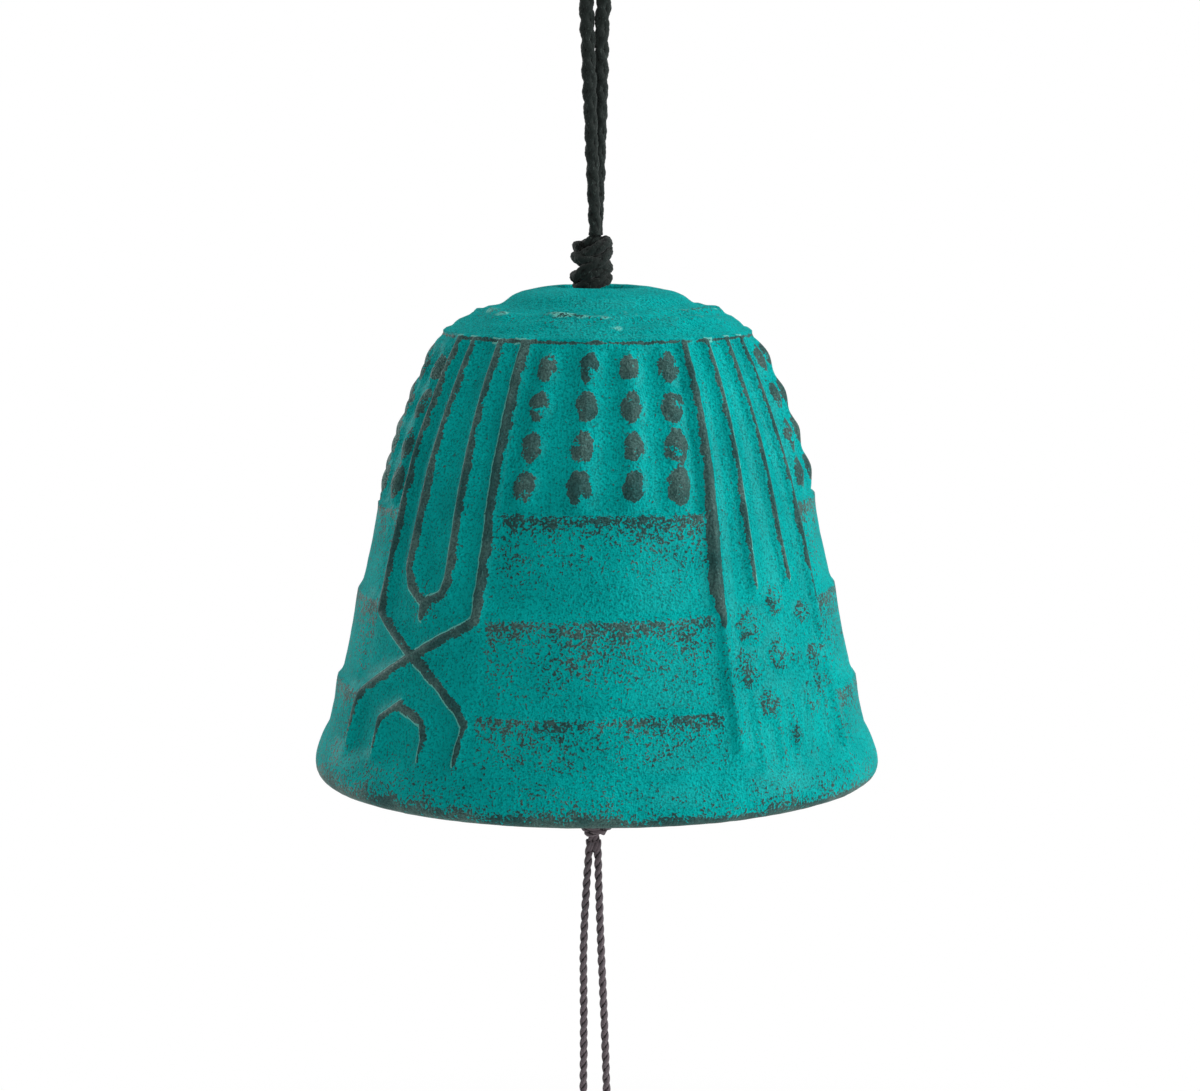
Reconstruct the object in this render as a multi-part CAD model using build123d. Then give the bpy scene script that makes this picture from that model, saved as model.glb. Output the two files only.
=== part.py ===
from build123d import *
import math
import os

# Driving sizes in millimetres. Heights are measured up from the plane of the bell's mouth, and
# angles round the bell from its front, which faces -Y, towards its right.
mouth_diameter = 66.0
bell_height = 57.2
wall_thickness = 2.8
crown_thickness = 3.8
loop_height = 102.0

mouth_radius = mouth_diameter / 2
ceiling_height = bell_height - crown_thickness
overrun = 1.0

# Outline of the bell as (share of the mouth's radius, share of the bell's height)
rim_shares = ((0.968, 0.0), (1.0, 0.028), (0.975, 0.080))
foot_share = 0.1085
shoulder_share = 0.902
wall_foot_shares = (0.9485, foot_share)
wall_bend_shares = (0.756, 0.580)
shoulder_shares = (0.540, shoulder_share)
crown_shares = ((0.541, 0.909), (0.514, 0.918), (0.325, 0.967), (0.270, 0.988))
crown_hole_diameter = 9.2
crown_hole_bevel = 0.5
cavity_side_count = 40

# Panels and straps: four of each, with the straps between the panels
side_count = 4
panel_middle_angle = 0.9
strap_half_angle = 16.3
tier_ledge_shares = (0.205, 0.383, 0.577)
tier_proud = 0.28
tier_sunk = 0.22
ledge_half_height = 0.6

# Bosses: rows and columns of low worn studs on the upper part of each panel
boss_row_shares = (0.643, 0.717, 0.790, 0.862)
boss_column_angles = (-20.0, -6.6, 6.8, 20.2)
boss_diameter = 3.4
boss_worn_diameter = 1.9
boss_height = 0.65
boss_side_count = 5

# Raised lines of the straps. Upright lines: share across the strap, and the heights they run
# between as shares. Slanting lines: their points as (share across, share up).
ridge_width = 1.1
ridge_half_angle = 1.2
ridge_height = 0.45
slant_height = 0.38
crossed_upright_shares = (
    (-1, 0.375, shoulder_share), (1, 0.385, shoulder_share),
    (-1, foot_share, 0.203), (1, foot_share, 0.203),
    (-0.42, 0.44, shoulder_share), (0.42, 0.44, shoulder_share),
    (-0.42, foot_share, 0.172), (0.42, foot_share, 0.18),
)
crossed_slant_shares = (
    ((-1, 0.378), (0, 0.302), (1, 0.200)),
    ((1, 0.388), (0, 0.302), (-1, 0.200)),
    ((-0.42, 0.445), (0, 0.385), (0.42, 0.445)),
    ((-0.42, 0.169), (0, 0.212), (0.42, 0.177)),
)
plain_upright_shares = (
    (-1, foot_share, shoulder_share), (1, foot_share, shoulder_share),
    (-0.36, 0.42, shoulder_share), (0.36, 0.42, shoulder_share),
)

# Cross bar under the crown hole
bar_diameter = 2.0
bar_length = 14.0
bar_seat_depth = 0.5
bar_seat_clearance = 0.05
bar_height = ceiling_height + bar_seat_depth - bar_diameter / 2

# Cords: six-sided, across the corners, with the gaps that let each knot turn or swing
hanging_cord_diameter = 1.45
lower_cord_diameter = 0.88
cord_side_count = 6
bar_to_cord_clearance = 0.06
turning_clearance = 0.1
swinging_clearance = 0.4
hitch_offset = 1.5
strand_offset = 0.48

# Knots: eight-sided beads, as their greatest diameter, the height of their underside and their
# own height; the crown knot has a second, smaller lobe on top
knot_side_count = 8
knot_taper = 15.0
crown_knot_diameter = 5.0
crown_knot_bottom = 56.2
crown_knot_height = 3.5
crown_lobe_diameter = 4.4
crown_lobe_height = 3.0
hitch_knot_diameter = 5.2
hitch_knot_bottom = 45.2
hitch_knot_height = 3.6
clapper_knot_diameter = 4.1
clapper_knot_bottom = -7.9
clapper_knot_height = 3.8
clapper_knot_top = clapper_knot_bottom + clapper_knot_height

# Clapper
clapper_diameter = 24.0
clapper_thickness = 3.4
clapper_hole_diameter = 2.6

# Paper strip
strip_width = 48.0
strip_length = 118.0
strip_thickness = 0.4
strip_top_height = -47.0
strip_hole_diameter = 4.0
strip_hole_depth = 6.0
strip_corner = 1.5

# Route of the hanging cord: up from the crown knot, round the hook and down to the knot again
hanging_route = [
    (-0.35, -0.85, 62.8),
    (-0.90, -0.70, 76.0),
    (-1.35, 0.0, 89.4),
    (-2.45, 0.0, 102.72),
    (2.45, 0.0, 102.72),
    (0.30, 0.0, 89.4),
    (0.30, 0.70, 76.0),
    (-0.15, 0.85, 62.8),
]

# Route of the lower cord's loop: from the clapper's knot down through the strip's hole and back
strip_route = [
    (-0.80, 0.0, -8.25),
    (-1.62, 0.0, -18.6),
    (-1.42, 0.0, -31.0),
    (-1.65, 0.0, -51.5),
    (1.65, 0.0, -51.5),
    (1.05, 0.0, -31.4),
    (0.42, 0.0, -19.0),
    (0.10, 0.0, -8.25),
]


def at(shares):
    """Point of the bell's outline in millimetres: radius and height."""
    return (shares[0] * mouth_radius, shares[1] * bell_height)


# The wall is straight from its foot to its bend, and follows a tangent arc on to the shoulder
foot_radius, foot_height = at(wall_foot_shares)
bend_radius, bend_height = at(wall_bend_shares)
shoulder_radius, shoulder_height = at(shoulder_shares)
lean = math.atan2(foot_radius - bend_radius, bend_height - foot_height)
chord_lean = math.atan2(bend_radius - shoulder_radius, shoulder_height - bend_height)
chord = math.hypot(bend_radius - shoulder_radius, shoulder_height - bend_height)
arc_radius = chord / 2 / math.sin(chord_lean - lean)
arc_centre_radius = bend_radius - arc_radius * math.cos(lean)
arc_centre_height = bend_height - arc_radius * math.sin(lean)
wall_heights = (foot_height, bend_height, (bend_height + shoulder_height) / 2, shoulder_height)


def wall_radius(height, raised=0.0):
    """Outer radius of the wall at a height, with the surface moved out square to itself."""
    if height < bend_height + raised * math.sin(lean):
        return foot_radius - (height - foot_height) * math.tan(lean) + raised / math.cos(lean)
    up = height - arc_centre_height
    return arc_centre_radius + math.sqrt((arc_radius + raised) ** 2 - up**2)


def wall_points(raised=0.0):
    """Outline of the plain wall from foot to shoulder, moved out by a raised height."""
    return [(wall_radius(height, raised), height) for height in wall_heights]


def tier_points():
    """Outline of a panel: three bands that stand out at their top ledges, then the boss field,
    whose rows each have a straight band of their own."""
    points = [(foot_radius, foot_height)]
    for share in tier_ledge_shares:
        below = share * bell_height - ledge_half_height
        above = share * bell_height + ledge_half_height
        points.append((wall_radius(below, tier_proud), below))
        points.append((wall_radius(above, -tier_sunk), above))
    rows = [share * bell_height for share in boss_row_shares]
    between_rows = [(low + high) / 2 for low, high in zip(rows, rows[1:])]
    return points + [(wall_radius(height), height) for height in [*between_rows, shoulder_height]]


def bell_face(side_points):
    """Half section of the bell without its cavity, closed along the axis, with the given side."""
    points = [(0, 0), *map(at, rim_shares), *side_points, *map(at, crown_shares)]
    points.append((crown_hole_diameter / 2 + crown_hole_bevel, bell_height))
    points.append((0, bell_height))
    return Plane.XZ * make_face(Polyline(*points, close=True))


def sector(face, middle_angle, half_angle):
    """Turn a half section through a sector about a direction measured from the bell's front."""
    return Rot(0, 0, middle_angle - half_angle - 90) * revolve(face, Axis.Z, 2 * half_angle)


def strap_point(across_share, up_share):
    """Place on a strap, drawn on the flat plane that faces it."""
    height = up_share * bell_height
    angle = math.radians(across_share * strap_half_angle)
    return (wall_radius(height) * math.sin(angle), height)


def upright_ridges(ridge_shares, middle_angle):
    """Raised lines that run up a strap."""
    ridges = []
    for across, low_share, high_share in ridge_shares:
        low = low_share * bell_height
        high = high_share * bell_height
        heights = [low, *[height for height in wall_heights if low < height < high], high]
        side = [(wall_radius(height, ridge_height), height) for height in heights]
        face = Plane.XZ * make_face(Polyline((0, low), *side, (0, high), close=True))
        ridges.append(sector(face, middle_angle + across * strap_half_angle, ridge_half_angle))
    return ridges


def slanting_ridges(line_shares, middle_angle):
    """Raised lines that slant across a strap: flat strokes pushed out and cut to the wall."""
    turn = math.radians(middle_angle)
    facing = Plane(
        origin=(0, 0, 0),
        x_dir=(math.cos(turn), math.sin(turn), 0),
        z_dir=(math.sin(turn), -math.cos(turn), 0),
    )
    strokes = Sketch()
    for line in line_shares:
        strokes += trace(Polyline(*[strap_point(*shares) for shares in line]), ridge_width)
    bars = extrude(facing.offset(shoulder_radius) * strokes, mouth_radius)
    return (bars & revolve(bell_face(wall_points(slant_height)), Axis.Z)).solids()


def worn_boss(height, angle):
    """Low stud on the wall, square to it and rooted as deep as it stands proud."""
    turn = math.radians(angle)
    fall = wall_radius(height - boss_height) - wall_radius(height + boss_height)
    out = Vector(math.sin(turn), -math.cos(turn), fall / (2 * boss_height)).normalized()
    radius = wall_radius(height)
    place = Plane(origin=(radius * math.sin(turn), -radius * math.cos(turn), height), z_dir=out)
    root = RegularPolygon(boss_diameter - boss_worn_diameter / 2, boss_side_count)
    taper = math.degrees(math.atan2((boss_diameter - boss_worn_diameter) / 2, boss_height))
    return extrude(place.offset(-boss_height) * root, 2 * boss_height, taper=taper)


def panel_bosses(middle_angle):
    """Worn studs of one panel."""
    return [
        worn_boss(row * bell_height, middle_angle + column)
        for row in boss_row_shares
        for column in boss_column_angles
    ]


def bell_cavity():
    """The many-sided space inside the bell: parallel to the outer wall, with a flat ceiling."""
    side = wall_points(-wall_thickness)
    lowest = (side[0][0] + (foot_height + overrun) * math.tan(lean), -overrun)
    below_ceiling, top = side[-2:]
    slope = (below_ceiling[0] - top[0]) / (top[1] - below_ceiling[1])
    highest = (top[0] - (ceiling_height - top[1]) * slope, ceiling_height)
    stations = [lowest, *side[1:-1], highest]
    cavity = Part()
    for (low_radius, low), (high_radius, high) in zip(stations, stations[1:]):
        taper = math.degrees(math.atan2(low_radius - high_radius, high - low))
        base = RegularPolygon(low_radius, cavity_side_count, major_radius=False)
        cavity += extrude(Pos(0, 0, low) * base, high - low, taper=taper)
    return cavity


def crown_hole():
    """Hole through the crown, with a bevelled top edge."""
    radius = crown_hole_diameter / 2
    points = [
        (0, ceiling_height - overrun),
        (radius, ceiling_height - overrun),
        (radius, bell_height - crown_hole_bevel),
        (radius + crown_hole_bevel, bell_height),
        (radius + crown_hole_bevel, bell_height + overrun),
        (0, bell_height + overrun),
    ]
    return revolve(Plane.XZ * make_face(Polyline(*points, close=True)), Axis.Z)


def bar_seat():
    """Groove in the crown's underside that the cross bar sits in."""
    radius = bar_diameter / 2 + bar_seat_clearance
    length = bar_length + 2 * bar_seat_clearance
    return Pos(0, 0, bar_height) * Rot(0, 90, 0) * Cylinder(radius, length)


def bell_shell():
    """Cast bell: panels with tiers and bosses, straps with raised lines, crown and cavity."""
    panel_half_angle = 180 / side_count - strap_half_angle
    panel_face = bell_face(tier_points())
    strap_face = bell_face(wall_points())
    body = Part()
    details = []
    for side in range(side_count):
        panel_angle = panel_middle_angle + side * 360 / side_count
        strap_angle = panel_angle + 180 / side_count
        body += sector(panel_face, panel_angle, panel_half_angle)
        body += sector(strap_face, strap_angle, strap_half_angle)
        details += panel_bosses(panel_angle)
        if side % 2:
            details += upright_ridges(crossed_upright_shares, strap_angle)
            details += slanting_ridges(crossed_slant_shares, strap_angle)
        else:
            details += upright_ridges(plain_upright_shares, strap_angle)
    body += details
    return body - [bell_cavity(), crown_hole(), bar_seat()]


def cross_bar():
    """Steel bar seated in the crown's underside, across the hole."""
    return Pos(0, 0, bar_height) * Rot(0, 90, 0) * Cylinder(bar_diameter / 2, bar_length)


def tube(path, diameter):
    """Cord along a path; prints how its volume compares with section times length."""
    start = Plane(origin=path @ 0, z_dir=path % 0)
    section = start * RegularPolygon(diameter / 2, cord_side_count)
    solid = sweep(section, path=path)
    share = solid.volume / (section.area * path.length)
    print("cord length", round(path.length, 2), "volume share", round(share, 4))
    return solid


def fillet_radii(points):
    """Radius at each corner of a cord's route: 0.45 of the shorter run over the half turn."""
    bend_share = 0.45
    radii = []
    for before, corner, after in zip(points, points[1:], points[2:]):
        run_in = Vector(*corner) - Vector(*before)
        run_out = Vector(*after) - Vector(*corner)
        half_turn = math.radians(run_in.get_angle(run_out)) / 2
        radii.append(bend_share * min(run_in.length, run_out.length) / math.tan(half_turn))
    print("cord radii", [round(radius, 1) for radius in radii])
    return radii


def cord(points, diameter):
    """Cord along a hand-chosen route of straight runs and tangent arcs."""
    return tube(FilletPolyline(*points, radius=fillet_radii(points)), diameter)


def knot(diameter, bottom, height):
    """Knot as a bead that narrows to its top and underside."""
    middle = Pos(0, 0, bottom + height / 2) * RegularPolygon(diameter / 2, knot_side_count)
    upper = extrude(middle, height / 2, taper=knot_taper)
    return upper + extrude(middle, -height / 2, taper=knot_taper)


def bar_loop(diameter, end_height, over):
    """Cord round the cross bar, over or under it, with straight legs that end at a height."""
    radius = bar_diameter / 2 + bar_to_cord_clearance + diameter / 2
    crest = bar_height + (radius if over else -radius)
    path = Curve() + [
        Line((0, -radius, end_height), (0, -radius, bar_height)),
        ThreePointArc((0, -radius, bar_height), (0, 0, crest), (0, radius, bar_height)),
        Line((0, radius, bar_height), (0, radius, end_height)),
    ]
    return tube(Wire(path.edges()), diameter)


def hanging_cord():
    """Braided cord folded into a loop, with its two ends at the crown knot."""
    return cord(hanging_route, hanging_cord_diameter)


def crown_knot():
    """Two-lobed knot above the crown."""
    lower = knot(crown_knot_diameter, crown_knot_bottom, crown_knot_height)
    lobe_bottom = crown_knot_bottom + crown_knot_height
    return lower + knot(crown_lobe_diameter, lobe_bottom, crown_lobe_height)


def crown_tie():
    """Lower end of the hanging cord: from the knot down through the hole and under the bar."""
    return bar_loop(hanging_cord_diameter, crown_knot_bottom - swinging_clearance / 2, False)


def bar_hitch():
    """Two turns of the lower cord over the bar, one on each side of the hanging cord."""
    end_height = hitch_knot_bottom + hitch_knot_height + turning_clearance
    loop = bar_loop(lower_cord_diameter, end_height, True)
    return Pos(-hitch_offset, 0, 0) * loop + Pos(hitch_offset, 0, 0) * loop


def hitch_knot():
    """Knot that closes the turns over the bar."""
    return knot(hitch_knot_diameter, hitch_knot_bottom, hitch_knot_height)


def clapper_cord():
    """Two straight strands that carry the clapper."""
    top = hitch_knot_bottom - swinging_clearance
    section = RegularPolygon(lower_cord_diameter / 2, cord_side_count)
    strand = extrude(Pos(strand_offset, 0, clapper_knot_top) * section, top - clapper_knot_top)
    return strand + Pos(-2 * strand_offset, 0, 0) * strand


def clapper_knot():
    """Knot that the clapper rests on."""
    return knot(clapper_knot_diameter, clapper_knot_bottom, clapper_knot_height)


def clapper():
    """Flat disc that rests on the knot under its hole."""
    face = Circle(clapper_diameter / 2) - Circle(clapper_hole_diameter / 2)
    return extrude(Pos(0, 0, clapper_knot_top + turning_clearance) * face, clapper_thickness)


def strip_cord():
    """Lower cord from the clapper's knot to the strip and back."""
    return cord(strip_route, lower_cord_diameter)


def paper_strip():
    """Wind strip of stiff paper, hung edge-on to the front by the hole near its top."""
    sheet = RectangleRounded(strip_width, strip_length, strip_corner)
    sheet -= Pos(0, strip_length / 2 - strip_hole_depth) * Circle(strip_hole_diameter / 2)
    solid = extrude(Plane.YZ * sheet, strip_thickness / 2, both=True)
    return Pos(0, 0, strip_top_height - strip_length / 2) * solid


nodes = {
    "hanging_cord": hanging_cord(),
    "crown_knot": crown_knot(),
    "crown_tie": crown_tie(),
    "bell_shell": bell_shell(),
    "cross_bar": cross_bar(),
    "bar_hitch": bar_hitch(),
    "hitch_knot": hitch_knot(),
    "clapper_cord": clapper_cord(),
    "clapper_knot": clapper_knot(),
    "clapper": clapper(),
    "strip_cord": strip_cord(),
    "paper_strip": paper_strip(),
}

# The origin is where the hook bears in the loop, so every piece moves down by the loop's height
os.makedirs("parts", exist_ok=True)
for name, solid in nodes.items():
    export_step(Pos(0, 0, -loop_height) * solid, "parts/" + name + ".step")
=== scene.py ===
import math

import bmesh
import bpy
import numpy as np
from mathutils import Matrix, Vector, kdtree, noise


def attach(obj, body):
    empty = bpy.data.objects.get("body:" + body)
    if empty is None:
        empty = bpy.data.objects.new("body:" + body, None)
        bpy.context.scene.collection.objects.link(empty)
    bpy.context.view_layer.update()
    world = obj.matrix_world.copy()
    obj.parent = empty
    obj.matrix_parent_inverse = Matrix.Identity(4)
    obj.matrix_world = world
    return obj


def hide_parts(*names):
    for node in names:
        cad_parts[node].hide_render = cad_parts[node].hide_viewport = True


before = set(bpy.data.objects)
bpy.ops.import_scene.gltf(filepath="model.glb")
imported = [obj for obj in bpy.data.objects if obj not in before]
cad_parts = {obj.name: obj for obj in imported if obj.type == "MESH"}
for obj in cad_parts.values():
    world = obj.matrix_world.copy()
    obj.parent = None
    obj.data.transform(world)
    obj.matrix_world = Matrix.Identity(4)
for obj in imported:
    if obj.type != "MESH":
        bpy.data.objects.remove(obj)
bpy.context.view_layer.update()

# Lengths are written in millimetres, but for the floor and the lamps in metres. Heights are
# measured up from the plane of the bell's mouth, and angles in degrees round the bell from its
# front, which faces -Y, towards its right.
MILLIMETRE = 0.001
MERGE_DISTANCE = 0.001
LOOP_HEIGHT = 102.0
FRONT = -90.0

# Outline of the bell, as (radius, height)
FOOT = (31.3, 6.2)
BEND = (24.95, 33.2)
SHOULDER = (17.82, 51.6)
RIM_OUTLINE = [
    (31.9, 0.0), (32.35, 0.3), (32.75, 0.85), (32.9, 1.7), (32.8, 2.7), (32.45, 3.8), (31.95, 5.0), FOOT,
]
CROWN_OUTLINE = [
    SHOULDER, (17.82, 51.9), (17.5, 52.15), (16.95, 52.3), (16.4, 52.75), (15.7, 53.25), (14.9, 53.75),
    (13.9, 54.2), (12.9, 54.5), (11.9, 54.72), (11.1, 55.0), (10.5, 55.4), (9.9, 55.85), (9.0, 56.25),
    (7.9, 56.52), (6.9, 56.72), (5.9, 56.89), (5.1, 56.92), (4.72, 56.8), (4.6, 56.4),
]
CAVITY_OUTLINE = [
    (4.6, 53.4), (9.0, 53.4), (13.6, 53.4), (15.4, 51.4), (19.1, 43.5), (22.1, 33.2), (24.4, 23.0),
    (27.2, 11.5), (29.8, 0.4), (30.2, 0.0),
]
ROW_SPACING = 0.4
TURN_STEPS = 540

# Wear is the share of bare iron that shows in speckles; a worn edge is a depth in millimetres
# inside a place that is rubbed quite bare, and FAR is well outside every such place
PLAIN_WEAR = 0.14
CAVITY_WEAR = 0.1
FAR = 3.0
WALL_START = (FOOT[1] - 1.6, FOOT[1] + 0.4)
WALL_END = (SHOULDER[1], SHOULDER[1] + 0.4)
CROWN_START = SHOULDER[1] + 0.2

# The rim: its wear as (height, wear), which reaches higher on the left, and how far its edge is
# raised, more on the right
RIM_WEAR = [(0.0, 0.9), (0.9, 0.75), (1.5, 0.52), (2.2, 0.36), (4.6, 0.27), (6.5, 0.15)]
RIM_WEAR_TILT = 0.3
RIM_LIFT = 0.27
RIM_LIFT_TILT = 0.16
RIM_LIFT_REACH = 2.6

# The crown: a wrinkled ring, fuller on the right, and a worn shoulder below it
RING_RADIUS = 14.0
RING_HALF_WIDTH = 3.8
RING_START = (52.2, 52.7)
RING_FULLER = 0.2
RING_WEAR = 0.16
CROWN_WEAR = 0.06
SHOULDER_WORN = 0.14
SHOULDER_REACH = 0.6

# Unevenness from the mould, patches of wear and raggedness of worn edges, each as (amount, size)
UNEVEN_WAVES = ((0.06, 5.0), (0.03, 1.3))
PATCH_WAVES = ((0.18, 2.2), (0.12, 8.0))
RAGGED_WAVES = ((0.25, 1.1),)
PATCH_GAIN = 2.5
PATCH_EDGE_SHARE = 0.5

# Four panels: how far each height stands out from the plain wall; the ledges' top edges, how
# strongly each is worn and how far it is raised at angles round the bell; the worn band under a
# ledge, as (depth, wear); and the heights where the field of bosses starts and ends
PANEL_TURN = 90
PANEL_MIDDLE = 0.9
PANEL_HALF_ANGLE = 27.5
PANEL_EDGE_ANGLE = 1.2
PANEL_OUTLINE = [
    (6.2, 0.0), (8.9, 0.03), (10.8, 0.2), (11.7, 0.26), (12.1, -0.04), (12.9, -0.2), (16.5, -0.15),
    (18.8, -0.03), (20.8, 0.15), (21.9, 0.22), (22.3, -0.02), (23.1, -0.16), (28.2, -0.14), (30.6, -0.02),
    (32.2, 0.1), (33.0, 0.24), (33.4, -0.16), (33.8, -0.42), (50.4, -0.42), (51.4, 0.0),
]
LEDGE_HEIGHTS = (11.8, 22.0, 33.2)
LEDGE_ANGLES = (-180, -80, -28, 28, 80, 180)
LEDGE_STRENGTHS = (1.0, 1.15, 1.06)
LEDGE_LIFTS = [(0, 0.1, -0.3, 0.3, 0.3, 0), (0, 0.2, -0.3, 0.4, 1.0, 0), (0, -1.3, 0.0, 0.05, 0.1, 0)]
LEDGE_WEAR = [
    (-0.25, 0.0), (0.0, 0.5), (0.3, 0.59), (1.0, 0.54), (1.7, 0.43), (3.0, 0.35), (6.0, 0.29), (9.0, 0.18),
    (10.5, 0.0),
]
FIELD_START = (33.3, 34.0)
FIELD_END = (50.4, 51.4)

# Bosses: four rows, and four columns given by their angles at the lowest and highest row, each on
# an upright rib; a boss is taller than wide, and its bare patch is ragged and smaller higher up
BOSS_HEIGHTS = (36.3, 40.5, 44.8, 48.9)
BOSS_COLUMNS = [(-20.0, -17.6), (-5.6, -3.6), (8.4, 9.6), (20.9, 22.8)]
BOSS_PROUD = 0.55
BOSS_REACH = 2.0
BOSS_WIDTH_SHARE = 0.74
BOSS_WORN_RADII = (1.18, 1.2, 1.08, 1.32)
BOSS_LOWEST_SHARE = 1.1
BOSS_ROW_SHARE = 0.06
BOSS_RAGGED_SHARE = 0.7
BOSS_WORN_DEPTH = 0.14
RIB_PROUD = 0.46
RIB_HALF_ANGLE = 6.7

# Straps: raised lines as (angle from the strap's middle, height) along each, on a soft skirt; how
# wide they are rubbed bare, as (height, half width); the reach and side of their painted highlight;
# and the speckled wear about the tip of the inner line and along the plain strap's lower ends
CROSSED_STRAP_ANGLES = (-44.2, 135.8)
PLAIN_STRAP_ANGLES = (45.8, 225.8)
STRAP_HALF_ANGLE = 15.4
STRAP_FADE_SHARES = (1.35, 1.5)
LINE_PROUD = 0.6
LINE_HALF_WIDTH = 0.95
SKIRT_PROUD = 0.3
SKIRT_HALF_WIDTH = 2.5
SKIRT_SUNK_SHARE = 0.4
HIGHLIGHT_REACH = 1.2
HIGHLIGHT_SIDE_WIDTH = 0.3
CROSSED_LINES = [
    [(-13.0, 51.9), (-13.8, 45.0), (-14.6, 38.0), (-15.1, 30.0), (-15.5, 21.2), (-0.2, 17.1), (8.0, 14.6),
     (14.0, 12.0), (16.4, 10.4), (15.4, 8.0), (14.6, 4.2)],
    [(18.4, 51.9), (17.6, 45.0), (17.1, 40.0), (16.6, 30.0), (15.9, 21.6), (-0.2, 17.1), (-17.0, 11.9),
     (-18.1, 9.0), (-18.6, 4.2)],
    [(-4.1, 51.9), (-4.8, 45.0), (-5.8, 37.0), (-6.5, 30.0), (-6.8, 26.4), (-5.0, 24.6), (0.4, 22.9),
     (5.8, 24.0), (6.9, 25.8), (7.1, 30.0), (7.4, 37.0), (7.8, 45.0), (8.6, 51.9)],
    [(0.4, 22.9), (0.6, 21.6)],
    [(-7.6, 4.6), (-7.1, 9.8), (-1.4, 11.7), (0.8, 11.1), (5.7, 10.2), (6.6, 8.4), (6.0, 4.2)],
]
CROSSED_WORN = [(6.0, 0.1), (9.0, 0.36), (14.0, 0.55), (30.0, 0.58), (50.0, 0.42)]
TIP_HEIGHT = 22.6
TIP_REACH = 3.4
TIP_WEAR = 0.45
PLAIN_LINES = [
    [(-14.6, 51.9), (-14.8, 45.0), (-15.8, 35.0), (-16.6, 25.0), (-16.2, 20.0), (-15.6, 8.0)],
    [(-4.8, 51.9), (-5.6, 43.0), (-6.2, 36.0), (-6.4, 25.0)],
    [(5.6, 51.9), (4.7, 40.0), (4.8, 30.0), (5.6, 25.4)],
    [(14.7, 51.9), (14.4, 38.0), (15.5, 30.0), (15.4, 25.0), (15.3, 20.0), (15.3, 15.0), (15.8, 10.0),
     (17.0, 4.6)],
]
BORDER_LINE_WORN = [(20.0, -0.3), (21.5, 0.4), (25.0, 0.9), (34.0, 0.72), (50.0, 0.4)]
PLAIN_WORN = [(20.0, -0.3), (24.0, 0.2), (30.0, 0.36), (50.0, 0.34)]
LOW_LINE_WEAR = 0.36
LOW_LINE_REACH = 2.0
LOW_LINE_END = (19.0, 24.0)

# Soft blossoms and buds, as (angle, height, size), and hanging folds at the foot of a plain strap
BLOSSOMS = [
    (0.2, 23.2, 1.7), (-8.6, 20.8, 2.0), (-10.6, 16.4, 2.2), (10.2, 21.4, 1.6), (12.0, 16.4, 1.7),
    (8.0, 12.2, 1.8), (-5.8, 12.4, 1.8), (-0.6, 17.4, 1.9), (4.6, 17.2, 1.4), (11.8, 13.2, 1.4),
    (0.6, 8.6, 1.2),
]
BLOSSOM_PROUD = 0.42
PETAL_RING_SHARE = 0.35
PETAL_REACH_SHARE = 0.85
BLOSSOM_WEAR = 0.44
BLOSSOM_WEAR_TILT = 0.12
BLOSSOM_FADE_SHARES = (0.8, 1.25)
FOLDS = [
    [(-10.0, 13.0), (-9.6, 4.6)], [(-4.0, 12.0), (-4.0, 4.8)], [(0.6, 12.4), (0.2, 4.8)],
    [(6.0, 11.0), (6.0, 4.6)], [(12.2, 12.0), (12.4, 4.4)],
]
FOLD_PROUD = 0.24
FOLD_HALF_WIDTH = 1.1
FOLD_WORN_HALF_WIDTH = 1.0
FOLD_WEAR = 0.34

# Cords, in the same routes as their solids, and the middle of the bar that carries them
HANGING_CORD_DIAMETER = 1.45
LOWER_CORD_DIAMETER = 0.88
BAR_HEIGHT = 52.9
BRAID_SPACING = 0.2
PLY_SPACING = 0.14
HANGING_ROUTE = [
    (-0.35, -0.85, 62.8), (-0.90, -0.70, 76.0), (-1.35, 0.0, 89.4), (-2.45, 0.0, 102.72),
    (2.45, 0.0, 102.72), (0.30, 0.0, 89.4), (0.30, 0.70, 76.0), (-0.15, 0.85, 62.8),
]
# How far a braid's strands reach from its middle, as (height, share of its diameter)
BRAID_REACH = [(60.0, 0.15), (66.0, 0.15), (80.0, 0.25), (96.0, 0.31), (101.0, 0.13)]
STRIP_ROUTE = [
    (-0.80, 0.0, -8.25), (-1.62, 0.0, -18.6), (-1.42, 0.0, -31.0), (-1.65, 0.0, -51.5),
    (1.65, 0.0, -51.5), (1.05, 0.0, -31.4), (0.42, 0.0, -19.0), (0.10, 0.0, -8.25),
]

# The camera: its place, its angles, its sensor and its lens; and the height that lamps aim at
EYE = (0.31, -370.0, 75.9)
EYE_PITCH = 7.56
EYE_ROLL = 0.15
SENSOR_WIDTH = 36.0
LENS = 96.15
LAMP_AIM_HEIGHT = 25


def place(x, y, z):
    """A point given in millimetres above the mouth, in the frame of the part."""
    return Vector((x, y, z - LOOP_HEIGHT)) * MILLIMETRE


def colour(hex_code):
    """An sRGB hex value as linear red, green, blue and alpha."""
    shares = [int(hex_code[i:i + 2], 16) / 255 for i in (1, 3, 5)]
    linear = [s / 12.92 if s <= 0.04045 else ((s + 0.055) / 1.055) ** 2.4 for s in shares]
    return (*linear, 1.0)


def fill(tree, node, inputs):
    """Set a node's inputs, each to a value or to another node's output socket."""
    for name, value in inputs.items():
        if isinstance(value, bpy.types.NodeSocket):
            tree.links.new(value, node.inputs[name])
        else:
            node.inputs[name].default_value = value


def add_node(tree, kind, inputs=None, **settings):
    """Add a node with its settings and its inputs."""
    node = tree.nodes.new(kind)
    for name, value in settings.items():
        setattr(node, name, value)
    fill(tree, node, inputs or {})
    return node


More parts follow.
